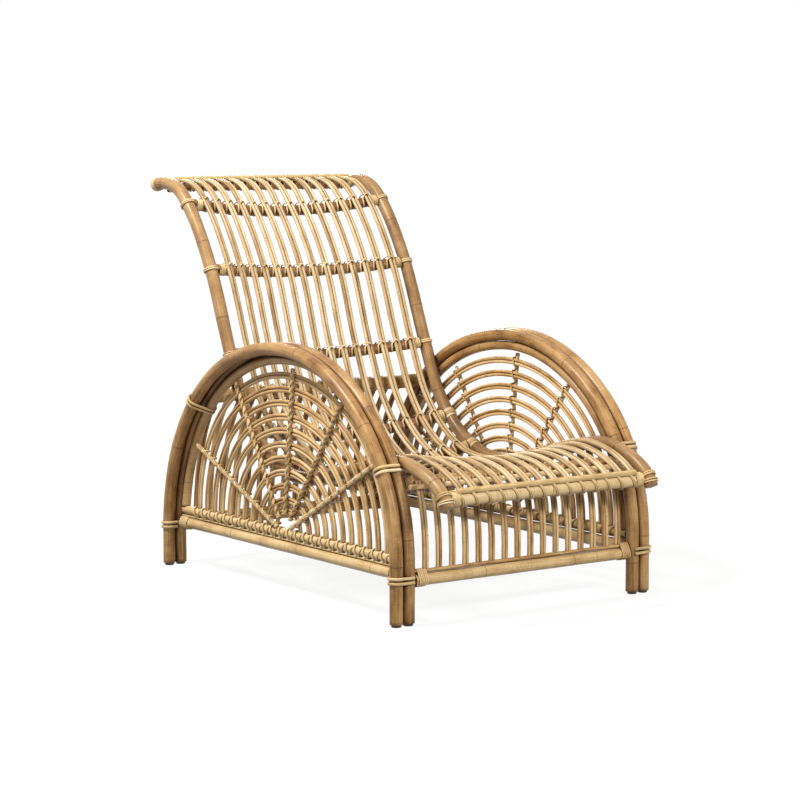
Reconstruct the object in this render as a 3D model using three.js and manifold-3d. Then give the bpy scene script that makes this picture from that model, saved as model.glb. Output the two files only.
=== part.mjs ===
// Peacock chair: an open lounge chair of bent poles and thin canes.
// Millimetres, +Z up. The sitter looks along -Y. The origin is on the floor,
// in the middle of the chair's box.
// While it is built, y = 0 lies halfway between the front legs and the rear legs.

import * as THREE from 'three';
import { mergeVertices } from 'three/addons/utils/BufferGeometryUtils.js';
import Module from 'manifold-3d';

const wasm = await Module();
wasm.setup();

// Gaps between pieces that touch on the real chair
const TOUCH_GAP = 0.4;
const SLAT_GAP = 0.6;
const WOUND_GAP = 0.8;

// The arches: two bent poles a side, each one front leg, arm and rear leg
const POLE_DIAMETER = 30;
const ARCH_SPACING = 700;
const ARCH_PAIR_GAP = 1.4;
const LEG_SPAN = 953;
const ARCH_HEIGHT = 566.8;
const ARCH_LEAD = 23.6;
const FRONT_LEG_STRAIGHT = 130;
const REAR_LEG_STRAIGHT = 84;
const FRONT_BEND_SHARES = { up: 0.611, along: 0.473 };
const REAR_BEND_SHARES = { up: 0.592, along: 0.573 };

// The fan hoop, a thinner pole bent inside each inner arch
const HOOP_DIAMETER = 22;

// Glides under the legs
const GLIDE_DIAMETER = 22;
const GLIDE_HEIGHT = 5;

// Straight rails low between the legs
const STRETCHER_DIAMETER = 28;
const STRETCHER_HEIGHT = 108;
const FAN_RAIL_DIAMETER = 20;
const FAN_RAIL_LIFT = 6;
const BOTTOM_RAIL_DIAMETER = 27;
const BOTTOM_RAIL_HEIGHT = 97.5;

// Cross rails high between the arches
const FRONT_CROSS_DIAMETER = 28;
const FRONT_CROSS_HEIGHT = 305;
const FRONT_CROSS_SETBACK = 10;
const REAR_CROSS_DIAMETER = 33;
const REAR_CROSS_HEIGHT = 426;

// The fan: nested arches of paired canes over a hub, and the spokes lashed across them
const FAN_ARCS = 10;
const FAN_HUB_GAPS = 5;
const CANE_DIAMETER = 8;
const FAN_SIDE_MARGIN = 48;
const FAN_TOP_MARGIN = 25.5;
const FAN_HUB_RISE = 68;
const FAN_LEAD = 9;
const FAN_BEND_SHARES = { up: 0.6, along: 0.53 };
const SPOKE_DIAMETER = 9;
const SPOKE_BITE = 1;
const SPOKE_ANGLES = [23.7, 58.2, 96, 126, 151];
const SPOKE_START_SHARES = [0.6, 0.75, 0.84, 0.79, 0.64];

// The seat rails: two poles bent to the S of the seat and the back
const SEAT_RAIL_DIAMETER = 31;
const SEAT_CREST_HEIGHT = 345.5;
const SEAT_CREST_SETBACK = 81.5;
const SEAT_DIP_HEIGHT = 266;
const SEAT_DIP_REACH = 15;
const BACK_HEIGHT = 930;
const BACK_OVERHANG = 108.5;
// Shares of the run from the dip to the crest, and of the rise between them, from the front end to the dip
const SEAT_CURVE_SHARES = [
  [1.475, -0.03],
  [1.452, 0.2],
  [1.38, 0.5],
  [1.225, 0.83],
  [1, 1],
  [0.56, 0.51],
  [0.13, 0.04],
];
// The same from the dip to the top of the back, and on to the rear end
const BACK_CURVE_SHARES = [
  [0.1, 0.011],
  [0.273, 0.087],
  [0.405, 0.213],
  [0.505, 0.398],
  [0.653, 0.706],
  [0.797, 0.902],
  [0.9, 0.982],
  [1, 1],
  [1.072, 0.992],
];

// Crossbars between the seat rails: the place is a share of the rail's length from its front end,
// and the bow, a share of the deepest one, is how far the middle hangs away from the sitter
const FRONT_BAR_DIAMETER = 30;
const FRONT_BAR_INSET = 12;
const BAR_DIAMETER = 24;
const BAR_BOW = 45;
const TOP_BAR_DIAMETER = 22;
const TOP_BAR_INSET = 6;
const CROSSBARS = [
  {
    name: 'front_bar',
    placeShare: 0.0165,
    diameter: FRONT_BAR_DIAMETER,
    bowShare: 0,
    inset: FRONT_BAR_INSET,
  },
  { name: 'seat_bar_1', placeShare: 0.205, diameter: BAR_DIAMETER, bowShare: 0.8, inset: 0 },
  { name: 'seat_bar_2', placeShare: 0.325, diameter: BAR_DIAMETER, bowShare: 0.933, inset: 0 },
  { name: 'seat_bar_3', placeShare: 0.441, diameter: BAR_DIAMETER, bowShare: 1, inset: 0 },
  { name: 'lumbar_bar', placeShare: 0.5155, diameter: BAR_DIAMETER, bowShare: 1, inset: 0 },
  { name: 'back_bar_1', placeShare: 0.6435, diameter: BAR_DIAMETER, bowShare: 0.956, inset: 0 },
  { name: 'back_bar_2', placeShare: 0.7785, diameter: BAR_DIAMETER, bowShare: 0.711, inset: 0 },
  { name: 'back_bar_3', placeShare: 0.8955, diameter: BAR_DIAMETER, bowShare: 0.711, inset: 0 },
  {
    name: 'top_bar',
    placeShare: 0.9805,
    diameter: TOP_BAR_DIAMETER,
    bowShare: 0,
    inset: TOP_BAR_INSET,
  },
];

// Slats: pairs of canes laid over the crossbars, from past the top bar to the front bar
const SLAT_PAIRS = 14;
const SLAT_CANE_DIAMETER = 8.5;
const SLAT_EDGE_SHARE = 0.64;
const SLAT_OVERHANG = 12;
const SLAT_FRONT_SETBACK = 10;

// Skirts: pairs of canes from a bead on the bottom rail up to the cross rail
const SKIRT_PAIRS = 16;
const SKIRT_EDGE_SHARE = 0.7;
const BEAD_DIAMETER = 9;
const CLAMP_DIAMETER = 12;
const CLAMP_DROP = 16;
const JOIN_BITE = 0.8;

// Strands of cane, thin on the fan rails and thick in the lashings
const STRAND_DIAMETER = 3.4;
const LASHING_DIAMETER = 6.5;
const LASHING_GAP = 4;
const RAIL_LOOPS = 24;
const LEG_LASHING_HEIGHT = 101;
const FRONT_LASHING_HEIGHT = 332;
const REAR_LASHING_HEIGHT = 415;

// A pair of canes side by side: the depth of the groove and the place of the flat edges
const GROOVE_SHARE = 0.35;
const EDGE_SHARE = 0.92;

// Lashings start by the end of the cross rail and stop at the far side of the hoop
const CROSS_RAIL_ANGLE = 108;
const HOOP_STOP_ANGLE = -150;

// Faces and steps of the solids
const POLE_SIDES = 8;
const CANE_SIDES = 6;
const STRAND_SIDES = 4;
const ARCH_STEPS = 8;
const ARC_STEPS = 5;
const RAIL_TURN = 18;
const BAR_STEPS = 6;
const SLAT_TURN = 24;
const SKIRT_STEPS = 3;
const LOOP_STEPS = 10;
const CORNER_STEPS = 5;
const GLIDE_SIDES = 8;
const CURVE_DIVISIONS = 2000;
const TURN_PROBES = 40;
const SPOKE_PROBE = 0.5;

const POLE_COLOUR = 0xbd9564;
const CANE_COLOUR = 0xd6b67c;
const STRAND_COLOUR = 0xe2cc9c;
const GLIDE_COLOUR = 0x4a4540;

const chair = new THREE.Group();
const X_AXIS = new THREE.Vector3(1, 0, 0);
const Z_AXIS = new THREE.Vector3(0, 0, 1);
const SIDES = { left: 1, right: -1 };

// Places that several pieces share
const poleRadius = POLE_DIAMETER / 2;
const outerArchX = ARCH_SPACING / 2;
const innerArchX = outerArchX - POLE_DIAMETER - ARCH_PAIR_GAP;
const legY = LEG_SPAN / 2;
const crossReach = innerArchX - poleRadius - TOUCH_GAP;
const seatRailX = crossReach - SEAT_RAIL_DIAMETER / 2;
const barReach = seatRailX - SEAT_RAIL_DIAMETER / 2 - TOUCH_GAP;
const stretcherTop = STRETCHER_HEIGHT + STRETCHER_DIAMETER / 2;
const fanRailHeight = stretcherTop + FAN_RAIL_LIFT + FAN_RAIL_DIAMETER / 2;
const fanRailTop = fanRailHeight + FAN_RAIL_DIAMETER / 2;
const footZ = GLIDE_HEIGHT + TOUCH_GAP;

function addPiece(name, geometry, colour, roughness) {
  const material = new THREE.MeshStandardMaterial({ color: colour, roughness, metalness: 0 });
  const mesh = new THREE.Mesh(geometry, material);
  mesh.name = name;
  chair.add(mesh);
  return mesh;
}

const addPole = (name, geometry) => addPiece(name, geometry, POLE_COLOUR, 0.55);
const addCane = (name, geometry) => addPiece(name, geometry, CANE_COLOUR, 0.5);
const addStrand = (name, geometry) => addPiece(name, geometry, STRAND_COLOUR, 0.6);

// A section is a list of [across, out] points, counter-clockwise
function roundSection(diameter, sides) {
  const turn = (2 * Math.PI) / sides;
  const at = (k) => [(diameter / 2) * Math.cos(k * turn), (diameter / 2) * Math.sin(k * turn)];
  return Array.from({ length: sides }, (_, k) => at(k));
}

// Two canes side by side, with the groove between them
function pairSection(diameter) {
  const r = diameter / 2;
  const [wide, groove] = [2 * r * EDGE_SHARE, r * GROOVE_SHARE];
  return [[wide, -r], [wide, r], [0, groove], [-wide, r], [-wide, -r], [0, -groove]];
}

const turned = (section) => section.map(([across, out]) => [-out, across]);

// A closed solid swept along points. Across is one direction, or one for each point, that the section's
// first axis keeps to. A level solid has its ends cut flat and level.
function sweep(points, across, section, level = false) {
  const last = points.length - 1;
  const positions = [];
  points.forEach((point, i) => {
    const ahead = points[Math.min(i + 1, last)];
    const behind = points[Math.max(i - 1, 0)];
    const tangent = ahead.clone().sub(behind).normalize();
    if (level && (i === 0 || i === last)) tangent.set(0, 0, Math.sign(tangent.z));
    const out = tangent.clone().cross(Array.isArray(across) ? across[i] : across).normalize();
    const side = out.clone().cross(tangent);
    for (const [a, o] of section) {
      const corner = point.clone().addScaledVector(side, a).addScaledVector(out, o);
      positions.push(corner.x, corner.y, corner.z);
    }
  });
  const n = section.length;
  const index = [];
  for (let i = 0; i < last; i += 1) {
    for (let j = 0; j < n; j += 1) {
      const a = i * n + j;
      const b = i * n + ((j + 1) % n);
      index.push(a, b, b + n, a, b + n, a + n);
    }
  }
  const outline = section.map(([a, o]) => new THREE.Vector2(a, o));
  for (const [a, b, c] of THREE.ShapeUtils.triangulateShape(outline, [])) {
    index.push(c, b, a);
    index.push(last * n + a, last * n + b, last * n + c);
  }
  const geometry = new THREE.BufferGeometry();
  geometry.setAttribute('position', new THREE.Float32BufferAttribute(positions, 3));
  geometry.setIndex(index);
  return geometry;
}

// Joins closed solids into one
function toSolid(geometry) {
  const bare = new THREE.BufferGeometry();
  bare.setAttribute('position', geometry.getAttribute('position'));
  bare.setIndex(geometry.getIndex());
  const merged = mergeVertices(bare);
  const vertProperties = new Float32Array(merged.getAttribute('position').array);
  const triVerts = new Uint32Array(merged.getIndex().array);
  return new wasm.Manifold(new wasm.Mesh({ numProp: 3, vertProperties, triVerts }));
}

function join(geometries) {
  const solid = geometries.map(toSolid).reduce((whole, piece) => whole.add(piece));
  const mesh = solid.getMesh();
  const geometry = new THREE.BufferGeometry();
  geometry.setAttribute('position', new THREE.Float32BufferAttribute(mesh.vertProperties, 3));
  geometry.setIndex(Array.from(mesh.triVerts));
  return geometry;
}

// Bent arches in the plane of a side: x is the reach along Y and y the height
const flat = (reach, height) => new THREE.Vector2(reach, height);
const inPlane = (x, point) => new THREE.Vector3(x, point.x, point.y);

// One quarter of an arch, from the top of a straight leg to the crown
function quarter(leg, crown, shares) {
  const legPull = flat(leg.x, leg.y + (crown.y - leg.y) * shares.up);
  const crownPull = flat(crown.x + (leg.x - crown.x) * shares.along, crown.y);
  return new THREE.CubicBezierCurve(leg, legPull, crownPull, crown);
}

// Points of a bent arch from its front spring to its rear spring, each with its outward direction
function bend({ front, rear, crown, frontShares, rearShares, steps }) {
  const rise = quarter(front, crown, frontShares);
  const fall = quarter(rear, crown, rearShares);
  const sample = (curve, share, sign) => {
    const tangent = curve.getTangent(share).multiplyScalar(sign);
    return { point: curve.getPoint(share), out: flat(-tangent.y, tangent.x) };
  };
  const up = Array.from({ length: steps }, (_, i) => sample(rise, i / steps, 1));
  const down = Array.from({ length: steps + 1 }, (_, i) => sample(fall, 1 - i / steps, -1));
  return [...up, ...down];
}

const offset = (bent, distance) => (
  bent.map(({ point, out }) => point.clone().addScaledVector(out, distance))
);

// The same points carried straight down to the feet, or cut off where the feet stand higher
function footOn(points, foot) {
  const first = points.findIndex((point) => point.y > foot);
  if (first === 0) return [flat(points[0].x, foot), ...points];
  const [below, above] = [points[first - 1], points[first]];
  const cut = below.clone().lerp(above, (foot - below.y) / (above.y - below.y));
  return [cut, ...points.slice(first)];
}

const withLegs = (points, foot) => footOn(footOn(points, foot).reverse(), foot).reverse();

const archBend = bend({
  front: flat(-legY, FRONT_LEG_STRAIGHT),
  rear: flat(legY, REAR_LEG_STRAIGHT),
  crown: flat(-ARCH_LEAD, ARCH_HEIGHT),
  frontShares: FRONT_BEND_SHARES,
  rearShares: REAR_BEND_SHARES,
  steps: ARCH_STEPS,
});

// Arches and hoops
const hoopInset = poleRadius + HOOP_DIAMETER / 2 + TOUCH_GAP;
const hoopPath = withLegs(offset(archBend, -hoopInset), fanRailTop + TOUCH_GAP);
const archPath = withLegs(offset(archBend, 0), footZ);

// The arch's centreline at a height, on its front or its rear half, with its direction away from the chair
function archAt(height, front) {
  const path = front ? archPath : [...archPath].reverse();
  const i = path.findIndex((point) => point.y >= height);
  const run = path[i].clone().sub(path[i - 1]);
  const point = path[i - 1].clone().addScaledVector(run, (height - path[i - 1].y) / run.y);
  run.normalize();
  return { point, out: front ? flat(-run.y, run.x) : flat(run.y, -run.x) };
}

for (const [side, sign] of Object.entries(SIDES)) {
  const poleRing = roundSection(POLE_DIAMETER, POLE_SIDES);
  const hoopRing = roundSection(HOOP_DIAMETER, POLE_SIDES);
  const along = (x, path) => path.map((point) => inPlane(sign * x, point));
  addPole(`outer_arch_${side}`, sweep(along(outerArchX, archPath), X_AXIS, poleRing));
  addPole(`inner_arch_${side}`, sweep(along(innerArchX, archPath), X_AXIS, poleRing));
  addPole(`fan_hoop_${side}`, sweep(along(innerArchX, hoopPath), X_AXIS, hoopRing, true));
}

// Straight poles, placed by their middles
function straightPole(name, { diameter, length, at, across }) {
  const geometry = new THREE.CylinderGeometry(diameter / 2, diameter / 2, length, POLE_SIDES);
  const mesh = addPole(name, geometry);
  mesh.position.set(...at);
  if (across) mesh.rotation.z = Math.PI / 2;
}

// A rail between the legs reaches their inner faces at its top, where the legs lean in the most
function legRail(name, x, diameter, height) {
  const [front, rear] = [true, false].map((isFront) => {
    const { point, out } = archAt(height + diameter / 2, isFront);
    return point.x - (poleRadius + TOUCH_GAP) / out.x;
  });
  straightPole(name, { diameter, length: rear - front, at: [x, (front + rear) / 2, height] });
}

for (const [side, sign] of Object.entries(SIDES)) {
  legRail(`side_stretcher_${side}`, sign * innerArchX, STRETCHER_DIAMETER, STRETCHER_HEIGHT);
  legRail(`fan_rail_${side}`, sign * innerArchX, FAN_RAIL_DIAMETER, fanRailHeight);
}

const frontCross = archAt(FRONT_CROSS_HEIGHT, true);
const rearCross = archAt(REAR_CROSS_HEIGHT, false);
const frontCrossPoint = frontCross.point.clone().addScaledVector(frontCross.out, -FRONT_CROSS_SETBACK);
const crossPole = (name, diameter, y, z) => (
  straightPole(name, { diameter, length: 2 * crossReach, at: [0, y, z], across: true })
);
crossPole('bottom_rail_front', BOTTOM_RAIL_DIAMETER, -legY, BOTTOM_RAIL_HEIGHT);
crossPole('bottom_rail_rear', BOTTOM_RAIL_DIAMETER, legY, BOTTOM_RAIL_HEIGHT);
crossPole('cross_rail_front', FRONT_CROSS_DIAMETER, frontCrossPoint.x, frontCrossPoint.y);
crossPole('cross_rail_rear', REAR_CROSS_DIAMETER, rearCross.point.x, REAR_CROSS_HEIGHT);

// Glides
for (const [side, sign] of Object.entries(SIDES)) {
  for (const [end, y] of Object.entries({ front: -legY, rear: legY })) {
    for (const [row, x] of Object.entries({ outer: outerArchX, inner: innerArchX })) {
      const radius = GLIDE_DIAMETER / 2;
      const geometry = new THREE.CylinderGeometry(radius, radius, GLIDE_HEIGHT, GLIDE_SIDES);
      const glide = addPiece(`glide_${row}_${end}_${side}`, geometry, GLIDE_COLOUR, 0.7);
      glide.rotation.x = Math.PI / 2;
      glide.position.set(sign * x, y, GLIDE_HEIGHT / 2);
    }
  }
}

// Fans
const hoopInnerY = legY - hoopInset - HOOP_DIAMETER / 2;
const hoopInnerTop = ARCH_HEIGHT - hoopInset - HOOP_DIAMETER / 2;
const fanHalfWidth = hoopInnerY - FAN_SIDE_MARGIN;
const fanPitch = fanHalfWidth / (FAN_HUB_GAPS / 2 + FAN_ARCS - 1);
const fanCrown = hoopInnerTop - FAN_TOP_MARGIN;
const fanFoot = fanRailTop + TOUCH_GAP;

function fanArc(number) {
  const halfWidth = fanHalfWidth - number * fanPitch;
  const hubCrown = fanRailTop + FAN_HUB_RISE;
  const crownZ = THREE.MathUtils.lerp(fanCrown, hubCrown, number / (FAN_ARCS - 1));
  const bent = bend({
    front: flat(-FAN_LEAD - halfWidth, fanFoot),
    rear: flat(-FAN_LEAD + halfWidth, fanFoot),
    crown: flat(-FAN_LEAD, crownZ),
    frontShares: FAN_BEND_SHARES,
    rearShares: FAN_BEND_SHARES,
    steps: ARC_STEPS,
  });
  return offset(bent, 0);
}

function distanceToPath(point, path) {
  let least = Infinity;
  for (let i = 1; i < path.length; i += 1) {
    const run = path[i].clone().sub(path[i - 1]);
    const share = point.clone().sub(path[i - 1]).dot(run) / run.lengthSq();
    const foot = path[i - 1].clone().addScaledVector(run, THREE.MathUtils.clamp(share, 0, 1));
    least = Math.min(least, foot.distanceTo(point));
  }
  return least;
}

// A spoke runs out from the hub until the corners of its end come up to the hoop
const hub = flat(0, fanRailHeight);
function spokeLine(angle, startShare) {
  const way = flat(Math.cos(angle), Math.sin(angle));
  const across = flat(-way.y, way.x).multiplyScalar(SPOKE_DIAMETER / 2);
  const start = startShare * (fanRailTop + FAN_HUB_RISE - fanRailHeight);
  const limit = HOOP_DIAMETER / 2 + TOUCH_GAP;
  const clear = (reach) => {
    const tip = hub.clone().addScaledVector(way, reach);
    const corners = [tip.clone().add(across), tip.clone().sub(across)];
    return corners.every((corner) => distanceToPath(corner, hoopPath) > limit);
  };
  let reach = start;
  while (clear(reach + SPOKE_PROBE)) reach += SPOKE_PROBE;
  return [hub.clone().addScaledVector(way, start), hub.clone().addScaledVector(way, reach)];
}

const spokes = SPOKE_ANGLES.map((angle, i) => (
  spokeLine(THREE.MathUtils.degToRad(angle), SPOKE_START_SHARES[i])
));
for (const [side, sign] of Object.entries(SIDES)) {
  const arcSection = turned(pairSection(CANE_DIAMETER));
  const spokeSection = roundSection(SPOKE_DIAMETER, CANE_SIDES);
  const spokeX = innerArchX + CANE_DIAMETER / 2 + SPOKE_DIAMETER / 2 - SPOKE_BITE;
  const arcs = Array.from({ length: FAN_ARCS }, (_, i) => (
    sweep(fanArc(i).map((point) => inPlane(sign * innerArchX, point)), X_AXIS, arcSection, true)
  ));
  const sticks = spokes.map((line) => (
    sweep(line.map((point) => inPlane(sign * spokeX, point)), X_AXIS, spokeSection)
  ));
  addCane(`fan_grille_${side}`, join([...arcs, ...sticks]));
}

// The S curve of the seat rails
const backRun = legY + BACK_OVERHANG + SEAT_DIP_REACH;
const backRise = BACK_HEIGHT - SEAT_DIP_HEIGHT;
const seatRun = legY - SEAT_CREST_SETBACK - SEAT_DIP_REACH;
const seatRise = SEAT_CREST_HEIGHT - SEAT_DIP_HEIGHT;
const seatPoints = SEAT_CURVE_SHARES.map(([run, rise]) => (
  inPlane(0, flat(-SEAT_DIP_REACH - run * seatRun, SEAT_DIP_HEIGHT + rise * seatRise))
));
const backPoints = BACK_CURVE_SHARES.map(([run, rise]) => (
  inPlane(0, flat(-SEAT_DIP_REACH + run * backRun, SEAT_DIP_HEIGHT + rise * backRise))
));
const railCurve = new THREE.CatmullRomCurve3([...seatPoints, ...backPoints], false, 'centripetal');
railCurve.arcLengthDivisions = CURVE_DIVISIONS;

// A place on the S curve: its point, its run towards the back's top and the direction of the sitter
function railAt(share) {
  const point = railCurve.getPointAt(share);
  const run = railCurve.getTangentAt(share);
  const sitter = X_AXIS.clone().cross(run).normalize();
  return { point, run, sitter };
}

const evenShares = (steps) => Array.from({ length: steps + 1 }, (_, i) => i / steps);

// How far the S curve turns between two places on it
function turnBetween(from, to) {
  const angles = evenShares(TURN_PROBES).map((share) => {
    const { run } = railAt(THREE.MathUtils.lerp(from, to, share));
    return Math.atan2(run.z, run.y);
  });
  return angles.slice(1).reduce((sum, angle, i) => sum + Math.abs(angle - angles[i]), 0);
}

// Places along the S curve: every crossbar, and enough between them that no step turns more than mostTurn
function stations(from, to, mostTurn) {
  const inside = CROSSBARS.map((bar) => bar.placeShare).filter((share) => share > from && share < to);
  const knots = [from, ...inside, to];
  return knots.flatMap((knot, i) => {
    if (i === 0) return [knot];
    const steps = Math.ceil(turnBetween(knots[i - 1], knot) / THREE.MathUtils.degToRad(mostTurn));
    return evenShares(steps).slice(1).map((share) => THREE.MathUtils.lerp(knots[i - 1], knot, share));
  });
}

for (const [side, sign] of Object.entries(SIDES)) {
  const path = stations(0, 1, RAIL_TURN).map((share) => railAt(share).point.setX(sign * seatRailX));
  addPole(`seat_rail_${side}`, sweep(path, X_AXIS, roundSection(SEAT_RAIL_DIAMETER, POLE_SIDES)));
}

// Crossbars, bowed in the plane square to the rails, in straight steps between points of a parabola
const barX = (step) => THREE.MathUtils.lerp(-barReach, barReach, step / BAR_STEPS);
function bowAt(x) {
  const step = Math.min(BAR_STEPS - 1, Math.floor(((x / barReach + 1) / 2) * BAR_STEPS));
  const [from, to] = [barX(step), barX(step + 1)];
  const parabola = (place) => 1 - (place / barReach) ** 2;
  return THREE.MathUtils.mapLinear(x, from, to, parabola(from), parabola(to));
}

function barPath(bar) {
  const { point, sitter } = railAt(bar.placeShare);
  const steps = bar.bowShare > 0 ? Array.from({ length: BAR_STEPS + 1 }, (_, i) => i) : [0, BAR_STEPS];
  return steps.map((step) => {
    const x = barX(step);
    const depth = bar.inset + bar.bowShare * BAR_BOW * (1 - (x / barReach) ** 2);
    return point.clone().addScaledVector(sitter, -depth).setX(x);
  });
}

for (const bar of CROSSBARS) {
  const { run } = railAt(bar.placeShare);
  addPole(bar.name, sweep(barPath(bar), run, roundSection(bar.diameter, POLE_SIDES)));
}

// How far a slat at x lies from the rails' centreline, smoothly from bar to bar
const slatLift = (bar) => bar.diameter / 2 + SLAT_CANE_DIAMETER / 2 + SLAT_GAP - bar.inset;
function slatOffset(share, x) {
  const last = CROSSBARS.length - 1;
  const found = CROSSBARS.findIndex((bar) => bar.placeShare >= share);
  const after = found < 0 ? last : Math.max(found, 1);
  const [near, far] = [CROSSBARS[after - 1], CROSSBARS[after]];
  const ease = THREE.MathUtils.smoothstep(share, near.placeShare, far.placeShare);
  const at = (bar) => slatLift(bar) - bar.bowShare * BAR_BOW * bowAt(x);
  return THREE.MathUtils.lerp(at(near), at(far), ease);
}

const railLength = railCurve.getLength();
const topBar = CROSSBARS[CROSSBARS.length - 1];
const slatStart = CROSSBARS[0].placeShare + SLAT_FRONT_SETBACK / railLength;
const slatEnd = topBar.placeShare + SLAT_OVERHANG / railLength;
const slatShares = stations(slatStart, slatEnd, SLAT_TURN);
const slatPitch = (2 * barReach) / (SLAT_PAIRS + SLAT_EDGE_SHARE);
for (let i = 0; i < SLAT_PAIRS; i += 1) {
  const x = (i - (SLAT_PAIRS - 1) / 2) * slatPitch;
  const path = slatShares.map((share) => {
    const { point, sitter } = railAt(share);
    return point.addScaledVector(sitter, slatOffset(share, x)).setX(x);
  });
  // The pair lies flat on the bowed bars
  const lean = slatShares.map((share) => {
    const edges = [x + SLAT_CANE_DIAMETER, x - SLAT_CANE_DIAMETER].map((edge) => slatOffset(share, edge));
    const slope = (edges[0] - edges[1]) / (2 * SLAT_CANE_DIAMETER);
    return X_AXIS.clone().addScaledVector(railAt(share).sitter, slope);
  });
  addCane(`slat_pair_${i + 1}`, sweep(path, lean, pairSection(SLAT_CANE_DIAMETER)));
}

// Skirts follow the arch from the bead on the bottom rail up to the outer face of the cross rail
const beadZ = BOTTOM_RAIL_HEIGHT + BOTTOM_RAIL_DIAMETER / 2 + TOUCH_GAP + BEAD_DIAMETER / 2;
const skirtFoot = beadZ + BEAD_DIAMETER / 2 - JOIN_BITE;
const skirtPitch = (2 * crossReach) / (SKIRT_PAIRS + SKIRT_EDGE_SHARE);
const skirtPlaces = Array.from({ length: SKIRT_PAIRS }, (_, i) => (i - (SKIRT_PAIRS - 1) / 2) * skirtPitch);

function skirtPath(front, top, stand) {
  return evenShares(SKIRT_STEPS).map((step) => {
    const { point, out } = archAt(THREE.MathUtils.lerp(skirtFoot, top, step), front);
    return point.addScaledVector(out, stand * THREE.MathUtils.smoothstep(step, 0, 1));
  });
}

function bar(diameter, y, z, sides) {
  const ends = [-crossReach, crossReach].map((x) => new THREE.Vector3(x, y, z));
  return sweep(ends, Z_AXIS, roundSection(diameter, sides));
}

function skirt(name, { front, crossDiameter, crossHeight, setback, extras }) {
  const stand = crossDiameter / 2 + CANE_DIAMETER / 2 + TOUCH_GAP - setback;
  const path = skirtPath(front, crossHeight, stand);
  const canes = skirtPlaces.map((x) => (
    sweep(path.map((point) => inPlane(x, point)), X_AXIS, pairSection(CANE_DIAMETER))
  ));
  const bead = bar(BEAD_DIAMETER, front ? -legY : legY, beadZ, CANE_SIDES);
  addCane(name, join([...canes, bead, ...extras(path)]));
}

// The clamp bar lies over the front canes, just below their top ends
function clampBar(path) {
  const reach = (CANE_DIAMETER + CLAMP_DIAMETER) / 2 - JOIN_BITE;
  const [below, top] = path.slice(-2);
  const run = top.clone().sub(below).normalize();
  const centre = top.clone().addScaledVector(run, -CLAMP_DROP).addScaledVector(flat(-run.y, run.x), reach);
  return [bar(CLAMP_DIAMETER, centre.x, centre.y, POLE_SIDES)];
}

skirt('skirt_front', {
  front: true,
  crossDiameter: FRONT_CROSS_DIAMETER,
  crossHeight: FRONT_CROSS_HEIGHT,
  setback: FRONT_CROSS_SETBACK,
  extras: clampBar,
});
skirt('skirt_rear', {
  front: false,
  crossDiameter: REAR_CROSS_DIAMETER,
  crossHeight: REAR_CROSS_HEIGHT,
  setback: 0,
  extras: () => [],
});

// Strands: each is one unbroken tube, and its least gap to itself is measured and printed
function leastGap(path, diameter, skip) {
  let least = Infinity;
  for (let i = 0; i < path.length; i += 1) {
    for (let j = i + skip; j < path.length; j += 1) {
      least = Math.min(least, path[i].distanceTo(path[j]));
    }
  }
  return least - diameter;
}

function addWound(name, { path, diameter, across, skip }) {
  addStrand(name, sweep(path, across, roundSection(diameter, STRAND_SIDES)));
  console.log(`${name}: least gap to itself ${leastGap(path, diameter, skip).toFixed(2)} mm`);
}

// The radius at which a strand in straight steps rides clear of a pole
function rideRadius(poleDiameter, diameter, steps) {
  return ((poleDiameter + diameter) / 2 + WOUND_GAP) / Math.cos(Math.PI / steps);
}

// The fan rail's winding crosses the rail's top in the gaps between the canes
for (const [side, sign] of Object.entries(SIDES)) {
  const radius = rideRadius(FAN_RAIL_DIAMETER, STRAND_DIAMETER, LOOP_STEPS);
  const firstY = -FAN_LEAD - (RAIL_LOOPS / 2) * fanPitch;
  const path = Array.from({ length: RAIL_LOOPS * LOOP_STEPS + 1 }, (_, i) => {
    const loops = i / LOOP_STEPS;
    const turn = loops * 2 * Math.PI;
    const [x, z] = [radius * Math.sin(turn), radius * Math.cos(turn)];
    return new THREE.Vector3(sign * (innerArchX + x), firstY + loops * fanPitch, fanRailHeight + z);
  });
  const across = new THREE.Vector3(0, 1, 0);
  addWound(`fan_rail_winding_${side}`, { path, diameter: STRAND_DIAMETER, across, skip: LOOP_STEPS / 2 });
}

// Lashings lie in the plane square to the arches: across is towards the chair's side, out is away from it
function placeStrand({ point, out }, sign, plane) {
  const run = new THREE.Vector3(0, out.y, -out.x);
  return plane.map(({ across, outward, along }) => (
    inPlane(sign * (innerArchX + across), point)
      .add(new THREE.Vector3(0, out.x, out.y).multiplyScalar(outward))
      .addScaledVector(run, along)
  ));
}

// A hairpin runs round its corners and back again. A corner is a pole that it bears on, from one angle to
// another, with 0 towards the chair's side and 90 away from the fan.
const archPitch = POLE_DIAMETER + ARCH_PAIR_GAP;
const strandPitch = LASHING_DIAMETER + LASHING_GAP;
function hairpin(corners, tail = []) {
  const outbound = corners.flatMap(({ across, outward, diameter, from, to, steps }) => {
    const ride = rideRadius(diameter, LASHING_DIAMETER, 2 * CORNER_STEPS);
    return evenShares(steps).map((share) => {
      const angle = THREE.MathUtils.degToRad(THREE.MathUtils.lerp(from, to, share));
      return { across: across + ride * Math.cos(angle), outward: outward + ride * Math.sin(angle) };
    });
  });
  const way = [...outbound, ...tail];
  const upper = way.map((place) => ({ ...place, along: strandPitch / 2 }));
  const lower = way.map((place) => ({ ...place, along: -strandPitch / 2 })).reverse();
  return [...upper, ...lower];
}

const innerCorner = {
  across: 0,
  outward: 0,
  diameter: POLE_DIAMETER,
  from: CROSS_RAIL_ANGLE,
  to: 90,
  steps: 1,
};
const outerCorner = {
  across: archPitch,
  outward: 0,
  diameter: POLE_DIAMETER,
  from: 90,
  to: -90,
  steps: CORNER_STEPS,
};

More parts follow.
